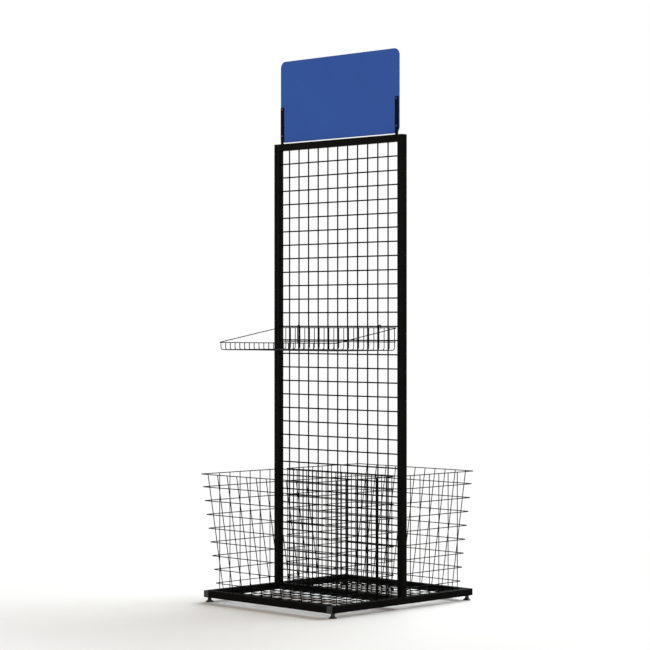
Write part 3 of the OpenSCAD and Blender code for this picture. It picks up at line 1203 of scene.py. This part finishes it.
@dataclass
class Foot:
    """One levelling foot: a flared pad moulded on a threaded stud."""

    side: Side
    hand: Hand
    # How far inside the rim the sole's inner ring lies, and radii of the edges under and over the rim.
    sole_in: float = 0.003
    edge: float = 0.0008
    soft: float = 0.001
    # Height of the rim, radius of the neck, and how far inside the rim the flare begins.
    rim: float = 0.003
    neck: float = 0.007
    flare_in: float = 0.0016
    flare_power: float = 1.6
    flare_points: int = 12
    bend_steps: int = 4
    shoulder_turn: float = 80.0
    # Radius of the neck's upper edge, and size of the slope at the mouth of the hole.
    lip: float = 0.0006
    mouth: float = 0.0004
    pad_around: int = 40
    # Pitch and depth of the thread, rings of points for each turn, and depth and slope of the groove's
    # wave before it is cut off at 0 and 1.
    thread_pitch: float = 0.00125
    thread_depth: float = 0.00068
    thread_rows: int = 6
    groove: Pair = (1.25, 1.6)
    # Length over which the thread runs out at the top.
    stud_taper: float = 0.002
    stud_around: int = 24

    def pad(self, radius: float, height: float, bore: float, socket: float) -> Skin:
        """Builds the pad: a profile with a rounded rim and a hollow flare, turned about the stud.

        The flare's radius falls from the rim to the neck as (1 - t) to a power.

        Args:
            radius: radius of the rim.
            height: height of the pad.
            bore: radius of the hole for the stud.
            socket: height of the hole's bottom.

        Returns:
            The skin, standing on the origin.
        """
        bend = self.bend_steps
        edge = arc((radius - self.edge, self.edge), self.edge, -90, 0, bend)
        shoulder = arc((radius - self.soft, self.rim - self.soft), self.soft, 0, self.shoulder_turn, bend)
        rise = np.linspace(0, 1, self.flare_points)
        flare = np.stack([self.neck + (radius - self.flare_in - self.neck) * (1 - rise) ** self.flare_power,
                          self.rim + (height - self.lip - self.rim) * rise], -1)
        lip = arc((self.neck - self.lip, height - self.lip), self.lip, 0, 90, bend)
        hole = [(bore + self.mouth, height), (bore, height - self.mouth), (bore, socket)]
        sole = [(radius - self.sole_in, 0)]
        return lathe(np.concatenate([sole, edge, shoulder, flare, lip, hole]), self.pad_around)

    def stud(self, radius: float, low: float, high: float) -> Skin:
        """Builds the threaded stud.

        A point's radius is the crest's less the depth times a sharp wave of (height / pitch - turn),
        and it tapers to the thread's root at the top.

        Args:
            radius: radius of the thread's crest.
            low: height of its lower end.
            high: height of its upper end.

        Returns:
            The skin, about the Z axis.
        """
        rows = int((high - low) / self.thread_pitch * self.thread_rows)
        height = np.linspace(low, high, rows)[:, None]
        wave = np.mod(height / self.thread_pitch - circle(self.stud_around)[None] / (2 * math.pi), 1)
        flat, slope = self.groove
        groove = np.clip(flat - np.abs(2 * wave - 1) * slope, 0, 1)
        taper = np.clip((high - height) / self.stud_taper, 0, 1)
        reach = radius - self.thread_depth * np.maximum(groove, 1 - taper)
        return Skin().rings(spun(reach, height, self.stud_around))

    def build(self) -> None:
        """Builds the foot in its place."""
        name = f"{self.side}_{self.hand}_foot"
        pad_low, pad_high = span(f"{name}_pad")
        low, high = span(f"{name}_stud")
        centre = middle(f"{name}_pad") * (1, 1, 0)
        radius = (high - low)[0] / 2
        pad = self.pad((pad_high - pad_low)[0] / 2, pad_high[2], radius, low[2]).placed(centre)
        place(pad, f"{name}_moulded_pad", name, f"{name}_pad", finish=FOOT_PLASTIC)
        stud = self.stud(radius, low[2], high[2]).placed(centre)
        place(stud, f"{name}_threaded_stud", name, f"{name}_stud", finish=BLACK_ZINC)


@dataclass
class Basket:
    """One deep wire basket: a rim, a foot ring and four walls of upright wires on rings."""

    side: Side
    # Height of the lowest ring over the side rails, and radius of the rings' corners.
    first_ring: float = 0.026
    bend: float = 0.01
    # How far a side wall's first upright wire is from the middle, and how far uprights pass the end rings.
    first_upright: float = 0.061
    past: float = 0.001
    # Half width of a weld nugget, and half its thickness between upright wires and between leaning ones.
    nugget: float = 0.0019
    nugget_flat: float = 0.001
    nugget_lean: float = 0.0011

    def __post_init__(self) -> None:
        """Reads the basket's main lines from the frame."""
        self.name = f"{self.side}_basket"
        radius = THIN_WIRE / 2
        low, high = span(f"{self.name}_rim")
        inner, outer = sorted(np.abs([low[1], high[1]]))
        self.ring_x, self.ring_back, self.rim_outer = high[0] - radius, inner + radius, outer - radius
        self.rim_z = middle(f"{self.name}_rim")[2]
        self.foot_z = middle(f"{self.name}_foot_ring")[2]
        self.foot_outer = np.abs(span(f"{self.name}_foot_ring"))[:, 1].max() - radius
        self.side_x = -span(f"{self.name}_left_wall")[0][0] - radius
        self.back_y = np.abs(span(f"{self.name}_back_wall"))[:, 1].min() + radius
        self.levels = steps(span("left_rail")[1][2] + self.first_ring, self.rim_z - END_ROOM)
        self.welds = [self.foot_z, *self.levels, self.rim_z]
        self.ends = [self.foot_z - self.past, self.rim_z + self.past]
        self.half = self.ring_x - self.bend
        self.columns = centred(self.half)

    def outer(self, height: Array) -> Array:
        """Gives how far a ring's outer side is from the middle at a height, on the wall's straight slope."""
        share = (np.asarray(height) - self.foot_z) / (self.rim_z - self.foot_z)
        return self.foot_outer + share * (self.rim_outer - self.foot_outer)

    def turned(self, points: Array) -> Array:
        """Puts points drawn for the rear basket on the basket's own side."""
        return np.asarray(points, float) * (1, self.side.value, 1)

    def ring(self, height: float, name: str) -> None:
        """Builds a closed ring: the foot ring or the rim.

        Args:
            height: height of the ring.
            name: its name, as in the frame.
        """
        flat = loop(self.ring_x, self.ring_back, float(self.outer(height)), self.bend)
        path = np.column_stack([flat, np.full(len(flat), height)])
        skin = sweep(self.turned(path), Z_AXIS, THIN_WIRE / 2, closed=True)
        place(skin, f"{self.name}_{name}_wire", self.name, f"{self.name}_{name}")

    def back_wall(self) -> None:
        """Builds the upright wall next to the panel."""
        wire, ring = self.side.value * self.back_y, self.side.value * self.ring_back
        spots = crossings(self.columns, [(wire + ring) / 2], self.welds)
        skin = rods(2, self.columns, [wire], self.ends).join(
            rods(0, [-self.half, self.half], [ring], self.levels),
            nuggets(spots, (self.nugget, self.nugget_flat, self.nugget)),
        )
        place(skin, f"{self.name}_back_wires", self.name, f"{self.name}_back_wall")

    def outer_wall(self) -> None:
        """Builds the leaning wall; its upright wires lie outside the rings.

        A wire lies as far outside the rings, square to the lean, as those of the back wall lie inside
        them, which is that distance / cos(lean) along Y. A nugget is halfway from a ring to a wire.
        """
        lean = math.atan2(self.rim_outer - self.foot_outer, self.rim_z - self.foot_z)
        lap = (self.ring_back - self.back_y) / math.cos(lean)
        past = self.past * math.cos(lean)
        ends = np.array([self.foot_z - past, self.rim_z + past])
        outer = self.outer(ends) + lap
        low, high = [self.turned(crossings(self.columns, [y], [z])) for y, z in zip(outer, ends)]
        rows = self.turned(np.stack([0 * self.levels, self.outer(self.levels), self.levels], -1))
        heights = np.array(self.welds)
        spots = np.stack([0 * heights, self.outer(heights) + lap * math.cos(lean) ** 2 / 2,
                          heights - lap * math.sin(2 * lean) / 4], -1)
        spots = (self.columns[:, None, None] * X_AXIS + spots).reshape(-1, 3)
        skin = wires(low, high).join(
            wires(rows - self.half * X_AXIS, rows + self.half * X_AXIS),
            nuggets(self.turned(spots), (self.nugget, self.nugget_lean, self.nugget)),
        )
        place(skin, f"{self.name}_outer_wires", self.name, f"{self.name}_outer_wall")

    def side_wall(self, hand: Hand) -> None:
        """Builds a side wall, with the bends of the rings at both of its edges.

        Args:
            hand: which side wall.
        """
        x, ring_x = hand.value * self.side_x, hand.value * self.ring_x
        places = self.side.value * steps(self.first_upright, float(self.outer(self.foot_z)) - self.bend)
        spots = crossings([(x + ring_x) / 2], places, self.welds)
        skin = rods(2, [x], places, self.ends).join(
            self.bends(hand), nuggets(spots, (self.nugget_flat, self.nugget, self.nugget)))
        place(skin, f"{self.name}_{hand}_wires", self.name, f"{self.name}_{hand}_wall")

    def bends(self, hand: Hand) -> Skin:
        """Builds the side runs of the rings: a bend, the straight side and the other bend.

        Args:
            hand: the side wall that they belong to.

        Returns:
            The skin.
        """
        start = arc((self.half, self.ring_back + self.bend), self.bend, -90, 0)
        levels = self.levels[:, None]
        end = arc((self.half, -self.bend), self.bend, 0, 90)
        x = np.broadcast_to(np.concatenate([start, end])[:, 0], (len(levels), 2 * len(start)))
        y = np.concatenate([np.broadcast_to(start[:, 1], (len(levels), len(start))),
                            end[:, 1] + self.outer(levels)], 1)
        path = np.stack([hand.value * x, y, levels + 0 * x], -1)
        return sweep(self.turned(path), Z_AXIS, THIN_WIRE / 2)

    def build(self) -> None:
        """Builds the whole basket."""
        self.ring(self.rim_z, "rim")
        self.ring(self.foot_z, "foot_ring")
        self.back_wall()
        self.outer_wall()
        for hand in Hand:
            self.side_wall(hand)


@dataclass
class Shelf:
    """The wire shelf and the two hooks that hang it on one wire of the panel."""

    pitch: float = 0.025
    bend: float = 0.01
    # How far the cross wire passes the first bent wire, and how far under the rim's middle the lip ends.
    end_past: float = 0.0025
    lip_under: float = 0.0011
    # How deep two welded wires lap, and height of the cross wire over the floor wires.
    weld: float = 0.0005
    cross_height: float = 0.0285
    # Half sizes of the weld nuggets on the back and on the lip.
    back_weld: Triple = (0.0019, 0.001, 0.0019)
    lip_weld: Triple = (0.0022, 0.0019, 0.0009)
    # Diameter of a hook, points round it, faces along its bend, and how far below the bend it ends.
    hook_wire: float = 0.004
    hook_sides: int = 16
    hook_steps: int = 14
    hook_tail: float = 0.008
    # Half sizes of a hook's weld nuggets, and how far behind the middle of the two wires they lie.
    hook_weld: Triple = (0.0027, 0.0012, 0.0022)
    hook_weld_back: float = 0.0002
    body: str = "shelf"

    def __post_init__(self) -> None:
        """Reads the shelf's main lines from the frame."""
        radius = THIN_WIRE / 2
        low, high = span("shelf_rim")
        self.rim_x = high[0] - radius
        self.front, self.rim_back = low[1] + radius, high[1] - radius
        self.front_z, self.back_z = low[2] + radius, high[2] - radius
        low, high = span("shelf_tray")
        self.floor_z = low[2] + radius
        self.cross_half, _, self.leg_top = high
        self.places = np.arange(self.end_past - self.cross_half, self.cross_half, self.pitch)
        self.back = self.rim_back - (THIN_WIRE - self.weld)
        self.cross_z = self.floor_z + self.cross_height

    def rim(self) -> None:
        """Builds the rim: a ring in a plane that slopes down to the front."""
        fall, run = self.back_z - self.front_z, self.rim_back - self.front
        length, slope = math.hypot(fall, run), math.atan2(fall, run)
        flat = loop(self.rim_x, -length, 0, self.bend)
        path = np.stack([flat[:, 0], self.rim_back + flat[:, 1] * math.cos(slope),
                         self.back_z + flat[:, 1] * math.sin(slope)], -1)
        normal = np.array([0, -math.sin(slope), math.cos(slope)])
        place(sweep(path, normal, THIN_WIRE / 2, closed=True), "shelf_rim_wire", self.body, "shelf_rim")

    @staticmethod
    def bent(xs: Places, start: Pair, bends: list[Array], end: Pair, diameter: float = THIN_WIRE,
             sides: int = WIRE_SIDES) -> Skin:
        """Builds wires bent in planes square to X, with rounded ends that both point up or both down.

        Args:
            xs: places of the wires along X.
            start: Y and Z of the first end.
            bends: points of the bends between the ends, as Y and Z.
            end: Y and Z of the last end.
            diameter: diameter of the wires.
            sides: number of points round a wire.

        Returns:
            The skin of all the wires.
        """
        inset, radii = rounded_ends(diameter / 2)
        ahead = math.copysign(1, bends[0][0][1] - start[1]) * inset[:, None] * (0, 1)
        side = np.concatenate([start + ahead, *bends, end + ahead[::-1]])
        sizes = np.full(len(side), diameter / 2)
        sizes[:3], sizes[-3:] = radii, radii[::-1]
        path = np.column_stack([np.zeros(len(side)), side])
        return sweep(np.asarray(xs)[:, None, None] * X_AXIS + path, X_AXIS, sizes, sides)

    def tray(self) -> None:
        """Builds the bent wires of the back, floor and lip, and the cross wire behind them."""
        lip_top, floor = self.front_z - self.lip_under, self.floor_z + self.bend
        bends = [arc((self.back - self.bend, floor), self.bend, 0, -90),
                 arc((self.front + self.bend, floor), self.bend, -90, -180)]
        skin = self.bent(self.places, (self.back, self.leg_top), bends, (self.front, lip_top))
        half = self.cross_half * X_AXIS
        cross = np.array([0, self.rim_back, self.cross_z])
        joint = (self.back + self.rim_back) / 2
        skin.join(
            wires(cross - half, cross + half),
            nuggets(crossings(self.places, [joint], [self.cross_z, self.back_z]), self.back_weld),
            nuggets(crossings(self.places, [self.front], [lip_top]), self.lip_weld),
        )
        place(skin, "shelf_tray_wires", self.body, "shelf_tray")

    def hook(self, hand: Hand) -> None:
        """Builds a hook: up behind the shelf, over the panel's wire in a half circle, and down behind it.

        Args:
            hand: which hook.
        """
        node = f"{hand}_shelf_hook"
        low, high = span(node)
        x, y, _ = middle(node)
        bend = (high[1] - low[1] - self.hook_wire) / 2
        leg, top = y - bend, high[2] - self.hook_wire / 2 - bend
        over = arc((y, top), bend, 180, 0, self.hook_steps)
        tail = (y + bend, top - self.hook_tail)
        skin = self.bent([x], (leg, low[2]), [over], tail, self.hook_wire, self.hook_sides)
        joint = (self.rim_back + leg) / 2 + self.hook_weld_back
        skin.join(nuggets(crossings([x], [joint], [self.cross_z, self.back_z]), self.hook_weld))
        place(skin, f"{node}_wire", self.body, node)

    def build(self) -> None:
        """Builds the shelf and its hooks."""
        self.rim()
        self.tray()
        for hand in Hand:
            self.hook(hand)


@dataclass
class HeaderSign:
    """The plain blue board, its two brackets, and their screws and nuts."""

    corner: float = 0.024
    board_edge: float = 0.0007
    bracket_edge: float = 0.0005
    # Half widths of a bracket at its shoulder and at its peg, and how far above the board's lower edge
    # it reaches its full width.
    shoulder_half: float = 0.0065
    peg_half: float = 0.005
    taper: float = 0.017
    # Gap between the board and the top rail, gap under the shoulders, and size of the blunted corners.
    gap: float = 0.005
    shoulder_gap: float = 0.0003
    soft: float = 0.0006
    # Diameter of a screw's shank, and radius and height of its tip.
    screw: float = 0.005
    screw_tip: Pair = (0.0019, 0.0006)
    # Diameter and height of a screw's head, and height of its edge.
    head: float = 0.009
    head_height: float = 0.0028
    head_edge: float = 0.0006
    head_around: int = 64
    head_rings: int = 26
    dome_power: float = 0.6
    # Half width and reach of the recess's arms, its depth, and start and slope of its walls.
    recess: Pair = (0.00055, 0.0022)
    recess_depth: float = 0.0013
    recess_step: Pair = (2.2, 1.6)
    shank_around: int = 24
    body: str = "header_sign"

    def board(self) -> None:
        """Builds the board, a plate with round corners."""
        low, high = span("header_board")
        skin = plate(loop(high[0], low[2], high[2], self.corner), high[1] - low[1], self.board_edge)
        skin.placed((0, high[1], 0), FACING_FRONT)
        place(skin, "header_board_panel", self.body, "header_board", finish=BLUE_BOARD)

    def bracket(self, hand: Hand) -> None:
        """Builds a bracket: a flat strip that narrows to a shoulder and a peg.

        Args:
            hand: which bracket.
        """
        node = f"{hand}_board_bracket"
        low, high = span(node)
        foot = span("header_board")[0][2]
        shoulder = foot - self.gap + self.shoulder_gap
        right = np.array([(self.peg_half, low[2]), (self.peg_half, shoulder), (self.shoulder_half, shoulder),
                          ((high - low)[0] / 2, foot + self.taper), ((high - low)[0] / 2, high[2])])
        outline = np.concatenate([right, (right * (-1, 1))[::-1]])
        skin = plate(self.softened(outline), high[1] - low[1], self.bracket_edge)
        skin.placed((middle(node)[0], high[1], 0), FACING_FRONT)
        place(skin, f"{node}_strip", self.body, node)

    def softened(self, outline: Array) -> Array:
        """Blunts each corner of an outline, with one point a little before it, one after and one between.

        Args:
            outline: the outline, as (points, 2).

        Returns:
            The outline with three points for each corner.
        """
        back = self.soft * unit(np.roll(outline, 1, 0) - outline)
        ahead = self.soft * unit(np.roll(outline, -1, 0) - outline)
        return np.stack([outline + back, outline + (back + ahead) / 4, outline + ahead], 1).reshape(-1, 2)

    def places(self) -> Array:
        """Places the four screws, half a head inside the corners of the box round them all.

        Returns:
            Their middles on the board's middle plane.
        """
        low, high = span("bracket_screws")
        half = self.head / 2
        return crossings([low[0] + half, high[0] - half], [0.0], [low[2] + half, high[2] - half])

    def head_skin(self) -> Skin:
        """Builds a screw's head: a dome with a cross recess.

        Its height is a dome's, height * (1 - (r / R) squared) to a power, less the recess, which is
        a sloping step in the distance from the two arms of a cross.

        Returns:
            The skin, with its flat side on the origin.
        """
        share = np.linspace(1, 0, self.head_rings, endpoint=False)[:, None]
        points = spun(self.head / 2 * share, 0, self.head_around)
        across, up = np.abs(points[..., 0]), np.abs(points[..., 1])
        width, reach = self.recess
        arms = np.minimum(np.maximum(across / width, up / reach), np.maximum(up / width, across / reach))
        dome = self.head_edge + (self.head_height - self.head_edge) * (1 - share ** 2) ** self.dome_power
        foot = points[:1].copy()
        start, slope = self.recess_step
        points[..., 2] = dome - self.recess_depth * np.clip(start - slope * arms, 0, 1)
        return Skin().rings(np.concatenate([foot, points]))

    def screws(self) -> None:
        """Builds the screws: a domed head and a plain shank."""
        front = span("left_board_bracket")[0][1]
        grip = front - span("bracket_screws")[1][1]
        tip, slope = self.screw_tip
        profile = [(tip, grip), (self.screw / 2, grip + slope), (self.screw / 2, 0)]
        shank = lathe(profile, self.shank_around)
        skin = Skin()
        for x, _, z in self.places():
            skin.join(self.head_skin().join(shank).placed((x, front, z), FACING_FRONT))
        place(skin, "bracket_screw_heads", self.body, "bracket_screws", finish=BLACK_ZINC)

    def nuts(self) -> None:
        """Builds the nuts on the back of the board.

        Their width over the corners is what the box round them all measures more than the screws'
        middles are apart, and the width across the flats is that times cos(30 degrees).
        """
        low, high = span("bracket_nuts")
        places = self.places()
        flats = (high[0] - low[0] - (places[-1] - places[0])[0]) * math.cos(math.pi / 6)
        skin = Skin()
        for x, _, z in places:
            skin.join(hex_nut(flats, self.screw / 2, high[1] - low[1]).placed((x, high[1], z), FACING_FRONT))
        place(skin, "bracket_hex_nuts", self.body, "bracket_nuts", finish=BLACK_ZINC)

    def build(self) -> None:
        """Builds the whole sign."""
        self.board()
        for hand in Hand:
            self.bracket(hand)
        self.screws()
        self.nuts()


@dataclass
class Lamp:
    """One soft light, wide and high as its size says, that points at a place.

    Args:
        name: name of the light.
        place: where it stands.
        aim: where it points.
        size: its width and height.
        power: its power, in watts.
        colour: colour of its light.
        spread: how wide its light spreads, in degrees.
    """

    name: str
    place: Triple
    aim: Triple
    size: Pair
    power: float
    colour: Triple
    spread: float = 180.0

    def build(self) -> None:
        """Makes the light."""
        light = bpy.data.lights.new(self.name, "AREA")
        light.shape = "RECTANGLE"
        light.size, light.size_y = self.size
        light.energy = self.power
        light.spread = math.radians(self.spread)
        light.color = self.colour
        back = unit(np.subtract(self.place, self.aim))
        right = unit(np.cross(Z_AXIS, back))
        turn = np.column_stack([right, np.cross(back, right), back])
        lamp = show(self.name, light)
        lamp.matrix_world = Matrix.Translation(self.place) @ Matrix(turn.tolist()).to_4x4()


@dataclass
class Studio:
    """The camera of the photograph, a white room, a pale floor and two soft lights."""

    eye: Triple = (5.4412, -5.5111, 0.9969)
    heading: float = 45.0
    lens: float = 118.69
    sensor: float = 36.0
    # Colour and strength of the room's own light.
    room: Triple = (0.33, 0.278, 0.236)
    # Radii of the floor's outermost and innermost ring.
    floor_radius: float = 14.0
    floor_middle: float = 0.5
    floor_rings: int = 8
    floor_around: int = 48
    floor_colour: Triple = (0.94, 0.94, 0.94)
    floor_rough: float = 0.9
    # Where the floor begins and ends to fade to white, as distances from a place.
    fade: Pair = (0.6, 1.55)
    fade_centre: Triple = (0.0, -0.45, 0.0)
    lamps: tuple[Lamp, ...] = (
        Lamp("key_light", (-0.5, 5.7, 3.7), (0, 0, 0.4), (9.0, 4.4), 1010.0, (0.88, 0.95, 0.97)),
        Lamp("front_light", (-0.8, -5.4, 1.5), (0, 0, 1.9), (2.6, 2.6), 41.0, (1.0, 1.0, 1.0), 70.0),
    )

    def camera(self) -> None:
        """Places the camera."""
        data = bpy.data.cameras.new("photo_camera")
        data.lens = self.lens
        data.sensor_width = self.sensor
        camera = show("photo_camera", data)
        camera.location = self.eye
        camera.rotation_euler = (math.radians(90), 0, math.radians(self.heading))
        bpy.context.scene.camera = camera

    def world(self) -> None:
        """Makes the room: its own light on the object, and plain white wherever it is seen."""
        world = bpy.data.worlds.new("white_room")
        bpy.context.scene.world = world
        graph = Graph(world)
        light = graph.tree.nodes["Background"]
        graph.feed(light, {"Color": (*self.room, 1.0)})
        white = graph.node("ShaderNodeBackground", 0, {"Color": (1.0, 1.0, 1.0, 1.0)})
        mix = graph.node("ShaderNodeMixShader", 0, {0: graph.seen(), 1: light.outputs[0], 2: white})
        graph.feed(graph.tree.nodes["World Output"], {"Surface": mix})

    def floor_material(self) -> bpy.types.Material:
        """Makes the floor's paint, which keeps the shadow near the rack and is plain white farther out.

        Returns:
            The material.
        """
        material = bpy.data.materials.new("studio_floor")
        graph = Graph(material)
        paint = graph.tree.nodes["Principled BSDF"]
        graph.feed(paint, {"Base Color": (*self.floor_colour, 1.0), "Roughness": self.floor_rough,
                           "Specular IOR Level": 0.0})
        length = graph.node("ShaderNodeVectorMath", "Value", {0: graph.place, 1: self.fade_centre},
                            operation="DISTANCE")
        near, far = self.fade
        limits = {"From Min": near, "From Max": far}
        away = graph.node("ShaderNodeMapRange", "Result", {"Value": length, **limits},
                          interpolation_type="SMOOTHSTEP")
        share = graph.node("ShaderNodeMath", "Value", {0: away, 1: graph.seen()}, operation="MULTIPLY")
        white = graph.node("ShaderNodeEmission", 0, {})
        mix = graph.node("ShaderNodeMixShader", 0, {0: share, 1: paint.outputs[0], 2: white})
        graph.feed(graph.tree.nodes["Material Output"], {"Surface": mix})
        return material

    def floor(self) -> None:
        """Makes the floor: a round sheet of rings, each a circle of one radius."""
        radii = np.linspace(self.floor_radius, self.floor_middle, self.floor_rings)[:, None]
        rings, around = self.floor_rings, self.floor_around
        disc = np.arange(around)[None] + (rings - 1) * around
        skin = Skin().add(spun(radii, 0, around), grid_faces(rings, around), disc)
        floor = show("studio_floor", skin.mesh("studio_floor"))
        floor.data.materials.append(self.floor_material())
        floor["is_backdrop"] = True

    def build(self) -> None:
        """Builds the studio."""
        bpy.context.scene.view_settings.view_transform = "Standard"
        self.camera()
        self.world()
        self.floor()
        for lamp in self.lamps:
            lamp.build()


def write_sizes(packed: object, dressed: object) -> None:
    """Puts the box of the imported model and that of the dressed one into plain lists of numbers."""
    boxes = {"cad": [list(corner) for corner in packed], "visual": [list(corner) for corner in dressed]}


def main() -> None:
    """Builds the studio and every part of the rack."""
    logging.basicConfig(level=logging.INFO, format="%(name)s: %(message)s")
    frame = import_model()
    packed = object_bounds()
    Studio().build()
    BaseFrame().build(frame)
    for side in Side:
        for hand in Hand:
            Foot(side, hand).build()
        Basket(side).build()
    Shelf().build()
    HeaderSign().build()
    write_sizes(packed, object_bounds())


if __name__ == "__main__":
    main()
